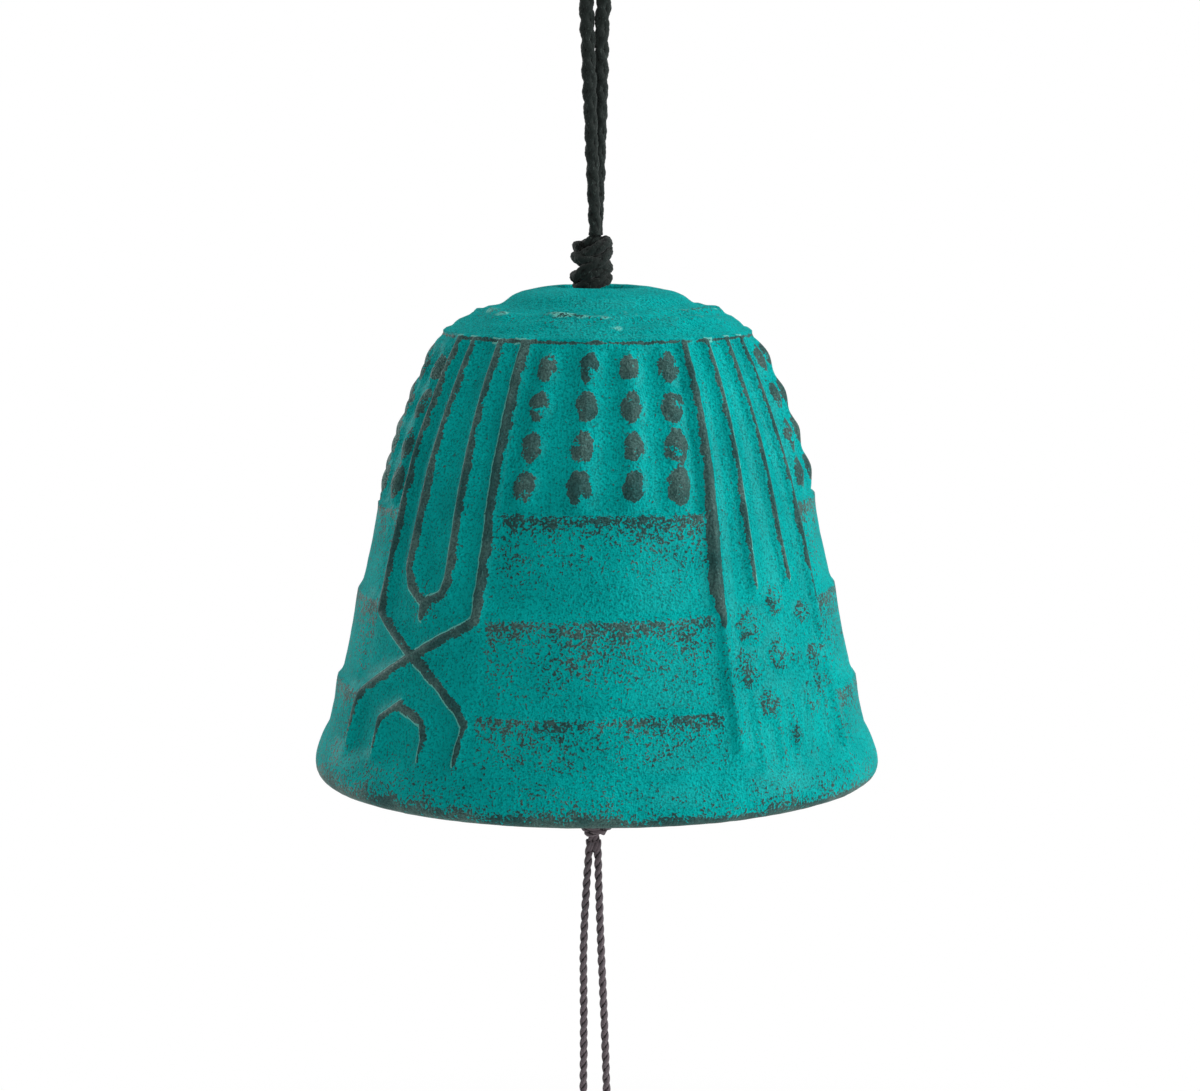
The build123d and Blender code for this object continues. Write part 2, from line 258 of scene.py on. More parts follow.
def new_material(name):
    """An empty node material with its output and its surface shader."""
    material = bpy.data.materials.new(name)
    material.use_nodes = True
    tree = material.node_tree
    tree.nodes.clear()
    output = add_node(tree, "ShaderNodeOutputMaterial")
    surface = add_node(tree, "ShaderNodeBsdfPrincipled")
    tree.links.new(surface.outputs["BSDF"], output.inputs["Surface"])
    return material, tree, surface


def pattern(tree, size, detail=2.0, stretch=(1, 1, 1)):
    """Noise whose grains are a size in millimetres across, on the object's own coordinates."""
    place_on = add_node(tree, "ShaderNodeTexCoord").outputs["Object"]
    spread = add_node(tree, "ShaderNodeMapping", {"Vector": place_on, "Scale": stretch})
    scale = 1 / (size * MILLIMETRE)
    grains = add_node(
        tree, "ShaderNodeTexNoise",
        {"Vector": spread.outputs["Vector"], "Scale": scale, "Detail": detail, "Roughness": 0.6},
    )
    return grains.outputs["Fac"]


def weigh(tree, value, low, high, to_low=0.0, to_high=1.0, how="SMOOTHSTEP"):
    """Spread a value from one range over another, held at its ends."""
    spread = add_node(
        tree, "ShaderNodeMapRange",
        {"Value": value, "From Min": low, "From Max": high, "To Min": to_low, "To Max": to_high},
        interpolation_type=how,
    )
    return spread.outputs["Result"]


def mark(tree, name):
    """A value that the mesh keeps at each of its points."""
    return add_node(tree, "ShaderNodeAttribute", attribute_name=name).outputs["Fac"]


def bumped(tree, height, depth, strength):
    """Surface direction over bumps of a depth in millimetres."""
    inputs = {"Strength": strength, "Distance": depth * MILLIMETRE, "Height": height}
    return add_node(tree, "ShaderNodeBump", inputs).outputs["Normal"]


def combine(tree, how, first, second):
    """Sum, product or larger of two values."""
    return add_node(tree, "ShaderNodeMath", {0: first, 1: second}, operation=how).outputs["Value"]


def blend_colours(tree, share, first, second):
    """Colour between two colours, each a hex value or another node's output."""
    first = colour(first) if isinstance(first, str) else first
    second = colour(second) if isinstance(second, str) else second
    mix = add_node(tree, "ShaderNodeMix", {0: share, 6: first, 7: second}, data_type="RGBA")
    return mix.outputs[2]


def patinated_iron():
    """Cast iron, painted verdigris green and rubbed back: the raised lines, bosses and ledges
    show dark green-grey iron in speckles, a thin pale painted highlight runs beside a worn line on
    its lit side, and the sand mould leaves a fine grain all over."""
    material, tree, surface = new_material("patinated_iron")
    wear, worn_edge, lit = [mark(tree, name) for name in ("wear", "worn_edge", "lit")]
    sand = pattern(tree, 0.24)
    grit = pattern(tree, 0.52)
    cloud = weigh(tree, pattern(tree, 6.0), 0.35, 0.65)
    sand_speckle = weigh(tree, sand, 0.0, 1.0, -0.7, 0.7, "LINEAR")
    grit_speckle = weigh(tree, grit, 0.0, 1.0, -0.68, 0.68, "LINEAR")
    speckle = combine(tree, "ADD", sand_speckle, grit_speckle)
    wear = combine(tree, "MAXIMUM", wear, weigh(tree, worn_edge, -0.15, 0.12, 0.0, 0.95, "LINEAR"))
    bare = weigh(tree, combine(tree, "ADD", wear, speckle), 0.47, 0.56)
    # painted highlight: a pale band just beside a worn line, on the lit side that the mesh marks
    beside_line = weigh(tree, worn_edge, -0.3, -0.16, 0.0, 0.75)
    painted_highlight = combine(tree, "MULTIPLY", beside_line, weigh(tree, lit, 0.0, 0.5))
    paint = blend_colours(tree, cloud, "#00B6B4", "#00C3C0")
    paint = blend_colours(tree, weigh(tree, sand, 0.48, 0.66, 0.0, 0.75), paint, "#007674")
    # the pale colour of the painted highlight
    paint = blend_colours(tree, painted_highlight, paint, "#87E2D5")
    iron = blend_colours(tree, cloud, "#366462", "#5B7E79")
    iron = blend_colours(tree, weigh(tree, sand, 0.42, 0.62, 0.0, 0.5), iron, "#1C3231")
    sand_rise = weigh(tree, sand, 0.25, 0.75)
    grit_rise = weigh(tree, grit, 0.25, 0.75, 0.0, 0.9)
    fill(tree, surface, {
        "Base Color": blend_colours(tree, bare, paint, iron),
        "Metallic": weigh(tree, bare, 0.0, 1.0, 0.0, 0.5),
        "Roughness": weigh(tree, bare, 0.0, 1.0, 0.72, 0.52),
        "Normal": bumped(tree, combine(tree, "ADD", sand_rise, grit_rise), 0.17, 1.0),
        "Specular IOR Level": 0.02,
        "Sheen Weight": 0.03,
        "Sheen Roughness": 0.1,
        "Sheen Tint": colour("#E6DCCB"),
        "Coat Weight": 0.05,
        "Coat Roughness": 0.3,
    })
    return material


def cord_fibre(name, groove_shade, crown, hair):
    """Spun polyester cord: soft, faintly fuzzy, with painted shade down between its strands and a
    painted highlight where they crown, with pale loose hairs."""
    material, tree, surface = new_material(name)
    fibres = pattern(tree, 0.2, 3.0, (1.0, 1.0, 0.45))
    # painted shade and highlight: darker where a strand lies deep towards the cord's middle, lighter on its
    # crest, with the fibres' own unevenness mixed in
    crest = weigh(tree, mark(tree, "crest"), 0.7, 1.0)
    loose = combine(tree, "ADD", crest, weigh(tree, fibres, 0.2, 0.8, -0.45, 0.45, "LINEAR"))
    # from the painted shade colour in the grooves to the painted highlight colour on the crests
    tone = blend_colours(tree, weigh(tree, loose, 0.1, 0.9), groove_shade, crown)
    tone = blend_colours(tree, weigh(tree, fibres, 0.58, 0.7, 0.0, 0.6), tone, hair)
    fill(tree, surface, {
        "Base Color": tone,
        "Roughness": 0.85,
        "IOR": 1.5,
        "Specular IOR Level": 0.2,
        "Sheen Weight": 0.12,
        "Sheen Roughness": 0.5,
        "Normal": bumped(tree, fibres, 0.08, 0.8),
    })
    return material


def bare_iron():
    """Unpainted cast iron: dark, slightly rough from the mould, rubbed brighter in patches."""
    material, tree, surface = new_material("bare_iron")
    sand = pattern(tree, 0.5, 3.0)
    cloud = pattern(tree, 5.0)
    fill(tree, surface, {
        "Base Color": blend_colours(tree, weigh(tree, cloud, 0.35, 0.65), "#3B3937", "#57524D"),
        "Metallic": 1.0,
        "Roughness": weigh(tree, cloud, 0.3, 0.7, 0.62, 0.45),
        "Normal": bumped(tree, sand, 0.08, 0.7),
    })
    return material


def drawn_steel():
    """Plain drawn steel wire, with fine lines along its length."""
    material, tree, surface = new_material("drawn_steel")
    lines = pattern(tree, 0.2, 2.0, (0.05, 1.0, 1.0))
    fill(tree, surface, {
        "Base Color": blend_colours(tree, weigh(tree, lines, 0.3, 0.7), "#7C7A77", "#A09C97"),
        "Metallic": 1.0,
        "Roughness": weigh(tree, lines, 0.3, 0.7, 0.3, 0.5),
    })
    return material


def mulberry_paper():
    """Stiff mulberry paper: off-white, with long pale fibres pressed into the sheet."""
    material, tree, surface = new_material("mulberry_paper")
    fibres = pattern(tree, 0.9, 4.0, (1.0, 1.0, 0.18))
    crossing = pattern(tree, 1.1, 4.0, (1.0, 0.22, 1.0))
    cloud = pattern(tree, 14.0)
    tone = blend_colours(tree, weigh(tree, cloud, 0.35, 0.65), "#DFD9CA", "#E8E3D7")
    tone = blend_colours(tree, weigh(tree, fibres, 0.6, 0.75, 0.0, 0.5), tone, "#CFC6B0")
    tone = blend_colours(tree, weigh(tree, crossing, 0.62, 0.76, 0.0, 0.45), tone, "#F0EEE6")
    fill(tree, surface, {
        "Base Color": tone,
        "Roughness": 0.85,
        "IOR": 1.45,
        "Normal": bumped(tree, combine(tree, "ADD", fibres, crossing), 0.04, 0.6),
    })
    return material


def finish_piece(piece, material, body):
    """Give a piece its material and the body that it moves with."""
    piece.data.materials.clear()
    piece.data.materials.append(material)
    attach(piece, body)


def piece_from_bmesh(name, shape, smooth=True):
    """An object at the origin from a finished bmesh."""
    mesh = bpy.data.meshes.new(name)
    shape.to_mesh(mesh)
    shape.free()
    if smooth:
        mesh.shade_smooth()
    piece = bpy.data.objects.new(name, mesh)
    bpy.context.scene.collection.objects.link(piece)
    return piece


def turn_round(shape, rows, steps):
    """Turn a closed outline's points once round the bell's axis into a closed surface."""
    edges = [shape.edges.new(pair) for pair in zip(rows, [*rows[1:], rows[0]])]
    bmesh.ops.spin(
        shape, geom=[*rows, *edges], axis=(0, 0, 1), cent=(0, 0, 0), angle=math.tau,
        steps=steps, use_merge=True, use_duplicate=False,
    )
    bmesh.ops.remove_doubles(shape, verts=shape.verts, dist=MERGE_DISTANCE * MILLIMETRE)
    bmesh.ops.recalc_face_normals(shape, faces=shape.faces)


def smooth_outline(points, spacing):
    """Points at about even spacing on a smooth curve through an outline's points."""
    points = [Vector(point) for point in points]
    ends = [2 * points[0] - points[1], *points, 2 * points[-1] - points[-2]]
    curve = []
    for before, start, end, after in zip(ends, ends[1:], ends[2:], ends[3:]):
        steps = max(1, round((end - start).length / spacing))
        for i in range(steps):
            t = i / steps
            curve.append(
                0.5 * (
                    2 * start
                    + (end - before) * t
                    + (2 * before - 5 * start + 4 * end - after) * t**2
                    + (3 * start - before - 3 * end + after) * t**3
                )
            )
    return [*curve, points[-1]]


def wall_outline():
    """The plain wall from foot to shoulder: straight to the bend, then a tangent arc."""
    lean = math.atan2(FOOT[0] - BEND[0], BEND[1] - FOOT[1])
    chord_lean = math.atan2(BEND[0] - SHOULDER[0], SHOULDER[1] - BEND[1])
    chord = math.hypot(BEND[0] - SHOULDER[0], SHOULDER[1] - BEND[1])
    arc_radius = chord / 2 / math.sin(chord_lean - lean)
    centre = (BEND[0] - arc_radius * math.cos(lean), BEND[1] - arc_radius * math.sin(lean))
    rows = round((SHOULDER[1] - FOOT[1]) / ROW_SPACING)
    outline = []
    for i in range(1, rows):
        height = FOOT[1] + (SHOULDER[1] - FOOT[1]) * i / rows
        if height < BEND[1]:
            radius = FOOT[0] - (height - FOOT[1]) * math.tan(lean)
        else:
            radius = centre[0] + math.sqrt(arc_radius**2 - (height - centre[1]) ** 2)
        outline.append(Vector((radius, height)))
    return outline


def turn_from(angles, middle):
    """Angles measured from a middle, in degrees from -180 to 180."""
    return (angles - middle + 180) % 360 - 180


def fade(value, low, high):
    """0 below low, 1 above high, and smooth between."""
    share = np.clip((value - low) / (high - low), 0, 1)
    return share * share * (3 - 2 * share)


def mound(distance, reach):
    """1 at a feature's middle, falling softly to 0 at its reach."""
    return 1 - fade(distance, 0, reach)


def wall_radius(height):
    """Radius of the plain wall at a height."""
    outline = [Vector(FOOT), *wall_outline(), Vector(SHOULDER)]
    return np.interp(height, [point.y for point in outline], [point.x for point in outline])


def line_distance(angle, height, line):
    """Distance in millimetres over the wall to a raised line, and how far to its right."""
    across = np.radians(angle) * wall_radius(height)
    corners = [np.array([math.radians(turn) * wall_radius(level), level]) for turn, level in line]
    nearest = np.full(len(angle), np.inf)
    side = np.zeros(len(angle))
    for start, end in zip(corners, corners[1:]):
        run = end - start
        along = ((across - start[0]) * run[0] + (height - start[1]) * run[1]) / (run @ run)
        along = np.clip(along, 0, 1)
        to_right = across - start[0] - along * run[0]
        gap = np.hypot(to_right, height - start[1] - along * run[1])
        side = np.where(gap < nearest, to_right, side)
        nearest = np.minimum(nearest, gap)
    return nearest, side


def nearest_line(angle, height, lines):
    """Distance to the nearest of several lines, how far to its right, and which it is."""
    found = np.array([line_distance(angle, height, line) for line in lines])
    gaps, sides = found[:, 0], found[:, 1]
    which = np.argmin(gaps, axis=0)
    places = np.arange(len(angle))
    return gaps[which, places], sides[which, places], which


def ledge_level(angle, height):
    """Height as it would be if the ledges ran level; they rise and sink a little round the bell."""
    lifts = [np.interp(angle, LEDGE_ANGLES, lift) for lift in LEDGE_LIFTS]
    low, middle, high = LEDGE_HEIGHTS
    past_low = np.clip((height - low) / (middle - low), 0, 1)
    past_middle = np.clip((height - middle) / (high - middle), 0, 1)
    return height - lifts[0] * (1 - past_low) - lifts[1] * (past_low - past_middle) - lifts[2] * past_middle


def panel_relief(angle, height):
    """Rise in millimetres, wear and worn edge of the four panels with their ledges, ribs and
    bosses."""
    turned = turn_from(angle, PANEL_MIDDLE)
    local = turned - PANEL_TURN * np.round(turned / PANEL_TURN)
    inside = 1 - fade(np.abs(local), PANEL_HALF_ANGLE - PANEL_EDGE_ANGLE, PANEL_HALF_ANGLE)
    level = ledge_level(angle, height)
    rise = np.interp(level, *zip(*PANEL_OUTLINE))
    wear = np.full(len(angle), PLAIN_WEAR)
    for ledge, strength in zip(LEDGE_HEIGHTS, LEDGE_STRENGTHS):
        band = np.interp(ledge - level, *zip(*LEDGE_WEAR), left=0.0, right=0.0)
        wear = np.maximum(wear, strength * band * inside)
    in_field = fade(level, *FIELD_START) * (1 - fade(height, *FIELD_END))
    share = (height - BOSS_HEIGHTS[0]) / (BOSS_HEIGHTS[-1] - BOSS_HEIGHTS[0])
    columns = [first + (last - first) * share for first, last in BOSS_COLUMNS]
    nearest = np.min([np.abs(local - column) for column in columns], axis=0)
    rise += RIB_PROUD * in_field * mound(nearest, RIB_HALF_ANGLE)
    wear = np.where(in_field > 0.5, PLAIN_WEAR, wear)
    worn_edge = np.full(len(angle), -FAR)
    for row, row_height in enumerate(BOSS_HEIGHTS):
        row_share = BOSS_LOWEST_SHARE - BOSS_ROW_SHARE * row
        for column, worn_radius in zip(columns, BOSS_WORN_RADII):
            across = np.radians(local - column) * wall_radius(height)
            gap = np.hypot(across, (level - row_height) * BOSS_WIDTH_SHARE)
            rise += BOSS_PROUD * mound(gap, BOSS_REACH)
            depth = BOSS_RAGGED_SHARE * (worn_radius * row_share - gap)
            worn_edge = np.maximum(worn_edge, np.minimum(depth, BOSS_WORN_DEPTH))
    return rise * inside, wear, worn_edge


def raised_line(gap):
    """Rise of a line with a crisp crest on a soft skirt, at a distance from its middle."""
    skirt = SKIRT_PROUD * (mound(gap, SKIRT_HALF_WIDTH) - SKIRT_SUNK_SHARE)
    return LINE_PROUD * mound(gap, LINE_HALF_WIDTH) + skirt


def crossed_strap(angle, height):
    """Rise, wear, worn edge and side of a strap with lines that cross above its foot."""
    gap, side = nearest_line(angle, height, CROSSED_LINES)[:2]
    worn_half_width = np.interp(height, *zip(*CROSSED_WORN))
    under_tip = np.hypot(np.radians(angle) * wall_radius(height), height - TIP_HEIGHT)
    wear = TIP_WEAR * mound(under_tip, TIP_REACH) ** 0.5
    return raised_line(gap), wear, worn_half_width - gap, side


def plain_strap(angle, height):
    """Rise, wear, worn edge and side of a strap with upright lines above blossoms and folds. Its
    first line borders the panel and is worn more broadly, with no painted highlight beside it."""
    gap, side, which = nearest_line(angle, height, PLAIN_LINES)
    on_border = which == 0
    border_worn = np.interp(height, *zip(*BORDER_LINE_WORN))
    plain_worn = np.interp(height, *zip(*PLAIN_WORN))
    worn_half_width = np.where(on_border, border_worn, plain_worn)
    rise = raised_line(gap)
    wear = LOW_LINE_WEAR * mound(gap, LOW_LINE_REACH) * (1 - fade(height, *LOW_LINE_END))
    for blossom_angle, level, size in BLOSSOMS:
        across = np.radians(angle - blossom_angle) * wall_radius(height)
        away = np.hypot(across, height - level)
        from_petals = np.abs(away - PETAL_RING_SHARE * size)
        rise += BLOSSOM_PROUD * mound(from_petals, PETAL_REACH_SHARE * size)
        start, end = [share * size for share in BLOSSOM_FADE_SHARES]
        worn = BLOSSOM_WEAR - BLOSSOM_WEAR_TILT * across / size
        wear = np.maximum(wear, worn * (1 - fade(away, start, end)))
    from_fold = nearest_line(angle, height, FOLDS)[0]
    rise += FOLD_PROUD * mound(from_fold, FOLD_HALF_WIDTH)
    wear = np.maximum(wear, FOLD_WEAR * mound(from_fold, FOLD_WORN_HALF_WIDTH))
    # the border line gets no side, so no painted highlight beside it
    return rise, wear, worn_half_width - gap, np.where(on_border, 0, side)


def wrinkle(turn, radius, circle, width):
    """Noise at a place on the crown: a wider circle through the noise gives more waves round the
    crown, and width is how broad each is from the crown's middle outwards."""
    return noise.noise((circle * math.cos(turn), circle * math.sin(turn), radius / width))


def crown_relief(angle, height, radius):
    """Rise, wear and worn edge of the crown: a wrinkled sloping ring, fuller on the right, above
    a crisp worn shoulder. The wrinkles' crests come near enough to a worn edge to take a faint
    painted highlight."""
    streak_circle, streak_width, streak_proud, streak_share = 3.0, 1.2, 0.6, 0.7
    lump_circle, lump_width, lump_proud, lump_share = 6.5, 1.6, 0.2, 0.4
    crest_wear, valley_edge, crest_edge = 0.4, -0.5, -0.28
    ring = mound(np.abs(radius - RING_RADIUS), RING_HALF_WIDTH) * fade(height, *RING_START)
    rise = RING_FULLER * ring * np.clip(np.sin(np.radians(angle)), 0, 1)
    wear = np.full(len(angle), CROWN_WEAR)
    shoulder = np.hypot(radius - SHOULDER[0], height - SHOULDER[1])
    worn_edge = SHOULDER_WORN - shoulder
    for i in np.flatnonzero(ring > 0.01):
        turn = math.radians(angle[i])
        streak = wrinkle(turn, radius[i], streak_circle, streak_width)
        lump = wrinkle(turn, radius[i], lump_circle, lump_width)
        crest = max(streak_share * streak + lump_share * lump, 0)
        rise[i] += ring[i] * (streak_proud * streak + lump_proud * lump)
        wear[i] = CROWN_WEAR + ring[i] * (RING_WEAR + crest_wear * crest)
        # on the ring the worn edge stops just short of a worn line, so the crests take a faint painted
        # highlight rather than bare iron
        if shoulder[i] > SHOULDER_REACH:
            worn_edge[i] = min(valley_edge + ring[i] * crest, crest_edge)
    return rise, wear, worn_edge


def surface_of_bell(angle, height, radius):
    """Rise, wear, worn edge and lit side over the whole outer face. A place is lit where a painted
    highlight may show beside a worn line: over the crown, and left of each line, or right of it on
    the plain strap at the front right."""
    rise, wear, worn_edge = panel_relief(angle, height)
    lit = np.full(len(angle), -1.0)
    strap_fade = [share * STRAP_HALF_ANGLE for share in STRAP_FADE_SHARES]
    for strap, middles in ((crossed_strap, CROSSED_STRAP_ANGLES), (plain_strap, PLAIN_STRAP_ANGLES)):
        for middle in middles:
            local = turn_from(angle, middle)
            near = np.abs(local) < 2 * STRAP_HALF_ANGLE
            strap_rise, strap_wear, strap_edge, side = strap(local[near], height[near])
            rise[near] += strap_rise * (1 - fade(np.abs(local[near]), *strap_fade))
            wear[near] = np.maximum(wear[near], strap_wear)
            worn_edge[near] = np.maximum(worn_edge[near], strap_edge)
            # which side of a line takes the painted highlight
            highlight_side = 1 if strap is plain_strap and 0 < middle < 180 else -1
            near_lit = np.clip(highlight_side * side / HIGHLIGHT_SIDE_WIDTH, -1, 1)
            lit[near] = np.where(strap_edge > -HIGHLIGHT_REACH, near_lit, -1)
    on_wall = fade(height, *WALL_START) * (1 - fade(height, *WALL_END))
    above = height - SHOULDER[1]
    crown_rise, crown_wear, crown_edge = crown_relief(angle, height, radius)
    rise = rise * on_wall + crown_rise
    wear = np.maximum(wear * on_wall, crown_wear)
    worn_edge = np.where(on_wall > 0.5, worn_edge, -FAR)
    worn_edge = np.where(height > CROWN_START, crown_edge, worn_edge)
    worn_edge = np.where(np.abs(above) < SHOULDER_REACH, np.maximum(worn_edge, crown_edge), worn_edge)
    # the whole crown may take the painted highlight, on its wrinkles' crests
    lit[height > SHOULDER[1] + SHOULDER_REACH] = 1
    lowered = height * (1 + RIM_WEAR_TILT * np.sin(np.radians(angle)))
    wear = np.maximum(wear, np.interp(lowered, *zip(*RIM_WEAR), right=0.0))
    return rise, wear, worn_edge, lit


def cast_noise(spot, waves):
    """Sum of several waves of noise at a point."""
    return sum(amount * noise.noise(spot / size) for amount, size in waves)


def cast_bell():
    """The bell: its outline turned once round, then raised and uneven as it came from the mould.
    Its points keep their wear, worn edge and lit side for the paint."""
    outline = [*smooth_outline(RIM_OUTLINE, ROW_SPACING)[:-1], Vector(FOOT), *wall_outline()]
    outline += smooth_outline(CROWN_OUTLINE, ROW_SPACING)
    outer_rows = len(outline)
    outline += [Vector(point) for point in CAVITY_OUTLINE]
    shape = bmesh.new()
    wear_mark = shape.verts.layers.float.new("wear")
    edge_mark = shape.verts.layers.float.new("worn_edge")
    lit_mark = shape.verts.layers.float.new("lit")
    rows = [shape.verts.new(place(radius, 0, height)) for radius, height in outline]
    for vertex in rows[outer_rows:]:
        vertex[wear_mark] = -1.0
    turn_round(shape, rows, TURN_STEPS)
    shape.normal_update()
    points = np.array([vertex.co for vertex in shape.verts]) / MILLIMETRE
    in_cavity = np.array([vertex[wear_mark] for vertex in shape.verts]) < 0
    angle = np.degrees(np.arctan2(points[:, 1], points[:, 0])) - FRONT
    height = points[:, 2] + LOOP_HEIGHT
    radius = np.hypot(points[:, 0], points[:, 1])
    rise, wear, worn_edge, lit = surface_of_bell(angle, height, radius)
    lift = mound(height, RIM_LIFT_REACH) * (RIM_LIFT + RIM_LIFT_TILT * np.sin(np.radians(angle)))
    wear[in_cavity] = CAVITY_WEAR
    worn_edge[in_cavity] = -FAR
    for i, vertex in enumerate(shape.verts):
        spot = vertex.co / MILLIMETRE
        uneven = cast_noise(spot, UNEVEN_WAVES)
        patch = cast_noise(spot, PATCH_WAVES)
        ragged = cast_noise(spot, RAGGED_WAVES)
        if not in_cavity[i]:
            vertex.co += vertex.normal * (rise[i] + uneven) * MILLIMETRE
        vertex.co.z += lift[i] * MILLIMETRE
        vertex[wear_mark] = wear[i] + patch * min(1.0, PATCH_GAIN * wear[i])
        vertex[edge_mark] = max(worn_edge[i], -FAR) + PATCH_EDGE_SHARE * patch + ragged
        vertex[lit_mark] = lit[i]
    bell = piece_from_bmesh("cast_bell", shape)
    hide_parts("bell_shell")
    return bell


def route_line(name, route):
    """Points along the smooth line that a cord's route guides, read from its spline."""
    curve = bpy.data.curves.new(name, "CURVE")
    curve.dimensions = "3D"
    curve.resolution_u = 24
    spline = curve.splines.new("NURBS")
    spline.points.add(len(route) - 1)
    for point, where in zip(spline.points, route):
        point.co = (*place(*where), 1.0)
    spline.order_u = 3
    spline.use_endpoint_u = True
    guide = bpy.data.objects.new(name, curve)
    bpy.context.scene.collection.objects.link(guide)
    depsgraph = bpy.context.evaluated_depsgraph_get()
    mesh = bpy.data.meshes.new_from_object(guide.evaluated_get(depsgraph))
    line = np.array([vertex.co for vertex in mesh.vertices])
    bpy.data.objects.remove(guide)
    bpy.data.curves.remove(curve)
    bpy.data.meshes.remove(mesh)
    return line


def even_line(line, spacing):
    """The same line with points at an even spacing, in metres."""
    runs = np.linalg.norm(np.diff(line, axis=0), axis=1)
    along = np.concatenate([[0], np.cumsum(runs)])
    count = max(2, round(along[-1] / spacing) + 1)
    marks = np.linspace(0, along[-1], count)
    return np.array([np.interp(marks, along, line[:, axis]) for axis in range(3)]).T


def line_length(line):
    """Length of a line of points."""
    return float(np.sum(np.linalg.norm(np.diff(line, axis=0), axis=1)))


def frames_along(line):
    """Side and lift directions square to a line, carried along it without twist."""
    tangents = np.gradient(line, axis=0)
    tangents /= np.linalg.norm(tangents, axis=1)[:, None]
    side = np.cross(tangents[0], (0.0, 1.0, 0.001))
    side /= np.linalg.norm(side)
    sides = []
    for tangent in tangents:
        side = side - tangent * (side @ tangent)
        side /= np.linalg.norm(side)
        sides.append(side)
    sides = np.array(sides)
    return sides, np.cross(tangents, sides)


def strands_to_piece(name, strands, strand_radius, lines, diameter):
    """One mesh of round strands, each along its own line of points, with how high each place
    stands from the cord's middle kept as its crest."""
    curve = bpy.data.curves.new(name + "_strands", "CURVE")
    curve.dimensions = "3D"
    curve.bevel_depth = strand_radius * MILLIMETRE
    curve.bevel_resolution = 2
    curve.use_fill_caps = True
    for strand in strands:
        spline = curve.splines.new("POLY")
        spline.points.add(len(strand) - 1)
        for point, where in zip(spline.points, strand):
            point.co = (*where, 1.0)
    guide = bpy.data.objects.new(name + "_strands", curve)
    bpy.context.scene.collection.objects.link(guide)
    depsgraph = bpy.context.evaluated_depsgraph_get()
    mesh = bpy.data.meshes.new_from_object(guide.evaluated_get(depsgraph))
    mesh.name = name
    mesh.shade_smooth()
    bpy.data.objects.remove(guide)
    spacing = BRAID_SPACING * MILLIMETRE
    middles = [Vector(point) for line in lines for point in even_line(line, spacing)]
    nearest = kdtree.KDTree(len(middles))
    for i, middle in enumerate(middles):
        nearest.insert(middle, i)
    nearest.balance()
    crest = mesh.attributes.new("crest", "FLOAT", "POINT")
    for value, vertex in zip(crest.data, mesh.vertices):
        value.value = nearest.find(vertex.co)[2] / (diameter / 2 * MILLIMETRE)
    piece = bpy.data.objects.new(name, mesh)
    bpy.context.scene.collection.objects.link(piece)
    return piece


def braid(line, diameter, lay_length=7.0):
    """Strands of a round braid about a line: three turn one way and three the other, each
    passing over and under those it meets, drawn a little thinner over the hook."""
    carriers = 3
    strand_radius = 0.33 * diameter
    weave = 0.04 * diameter
    slack = 0.03 * diameter
    slack_wave, slack_wave_step, slack_start = 1.9, 0.37, 2.1
    line = even_line(line, BRAID_SPACING * MILLIMETRE)
    sides, lifts = frames_along(line)
    along = np.linspace(0, line_length(line), len(line)) / MILLIMETRE
    height = line[:, 2] / MILLIMETRE + LOOP_HEIGHT
    reach = diameter * np.interp(height, *zip(*BRAID_REACH))
    strands = []
    for way in (1, -1):
        phase = 0 if way > 0 else math.pi
        for carrier in range(carriers):
            turn = way * math.tau * along / lay_length + math.tau * carrier / carriers
            over = weave * np.cos(2 * carriers * math.tau * along / lay_length + phase)
            uneven = slack * np.sin(along * (slack_wave + slack_wave_step * carrier) + slack_start * way)
            offset = sides * np.cos(turn)[:, None] + lifts * np.sin(turn)[:, None]
            strands.append(line + offset * ((reach + over + uneven) * MILLIMETRE)[:, None])
    return strands, strand_radius


def two_ply(line, diameter, lay_length=2.6):
    """Two plies twisted tightly round each other about a line."""
    ply_radius = 0.38 * diameter
    reach_share = 0.17
    line = even_line(line, PLY_SPACING * MILLIMETRE)
    sides, lifts = frames_along(line)
    along = np.linspace(0, line_length(line), len(line)) / MILLIMETRE
    plies = []
    for ply in range(2):
        turn = math.tau * along / lay_length + math.pi * ply
        offset = sides * np.cos(turn)[:, None] + lifts * np.sin(turn)[:, None]
        plies.append(line + offset * reach_share * diameter * MILLIMETRE)
    return plies, ply_radius


def bar_turn_line(spread, end_height, over):
    """Half turn of a cord round the cross bar, with straight legs to a height."""
    points_in_bend = 17
    turns = np.linspace(0, math.pi, points_in_bend)
    lift = 1 if over else -1
    bend = [(0.0, -spread * math.cos(t), BAR_HEIGHT + lift * spread * math.sin(t)) for t in turns]
    points = [(0.0, -spread, end_height), *bend, (0.0, spread, end_height)]
    return np.array([place(*point) for point in points])


def coil_line(middle, turns, rise, reaches, tilt, phase):
    """Line of a cord wound round in a coil that climbs from a middle point, its reach going
    through several values and its turns tilted to one side."""
    steps_in_turn = 48
    steps = round(steps_in_turn * turns)
    shares = np.linspace(0, 1, steps + 1)
    reach = np.interp(shares, np.linspace(0, 1, len(reaches)), reaches)
    turn = math.tau * turns * shares + phase
    across = reach * np.cos(turn)
    depth = reach * np.sin(turn)
    height = middle[1] + rise * shares + tilt * across
    return np.array([place(middle[0] + x, y, z) for x, y, z in zip(across, depth, height)])


def hanging_loop():
    """Braided cord folded over the hook, its two legs running down to the crown knot."""
    line = route_line("hanging_route", HANGING_ROUTE)
    strands, strand_radius = braid(line, HANGING_CORD_DIAMETER)
    piece = strands_to_piece("braided_loop", strands, strand_radius, [line], HANGING_CORD_DIAMETER)
    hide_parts("hanging_cord")
    return piece


